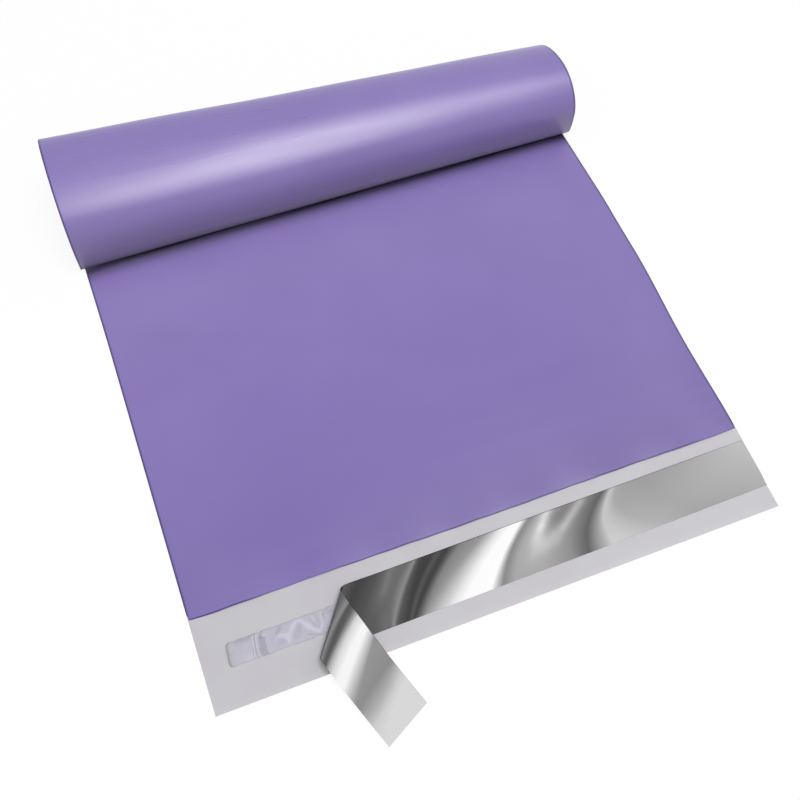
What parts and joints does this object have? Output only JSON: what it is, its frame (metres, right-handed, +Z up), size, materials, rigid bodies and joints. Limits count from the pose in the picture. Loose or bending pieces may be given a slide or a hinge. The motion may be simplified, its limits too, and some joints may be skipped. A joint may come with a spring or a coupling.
{
  "type": "poly mailer bag",
  "caption": "Flat plastic mailing bag lying face up, its closed end curled over and the foil release liner of its adhesive flap partly peeled back.",
  "frame": {"origin": "on the flat underside, where the bag rests, on its centre line 120 mm in from the flap's free edge", "axes": "+Z up from the surface it lies on, +Y from the flap towards the curled closed end, +X to the right across the bag as seen from above with the flap towards the viewer"},
  "size_m": [0.2573, 0.3051, 0.0411],
  "materials": {
    "purple_film": "satin polyethylene film, purple outside and light grey inside",
    "clear_glue": "glossy, slightly milky hot-melt glue with creases across it",
    "silver_foil": "bright silver-coated film with soft wavy reflections"
  },
  "bodies": {
    "root": {"bag_film": "purple_film", "adhesive_strip": "clear_glue", "release_liner": "silver_foil"}
  },
  "joints": []
}
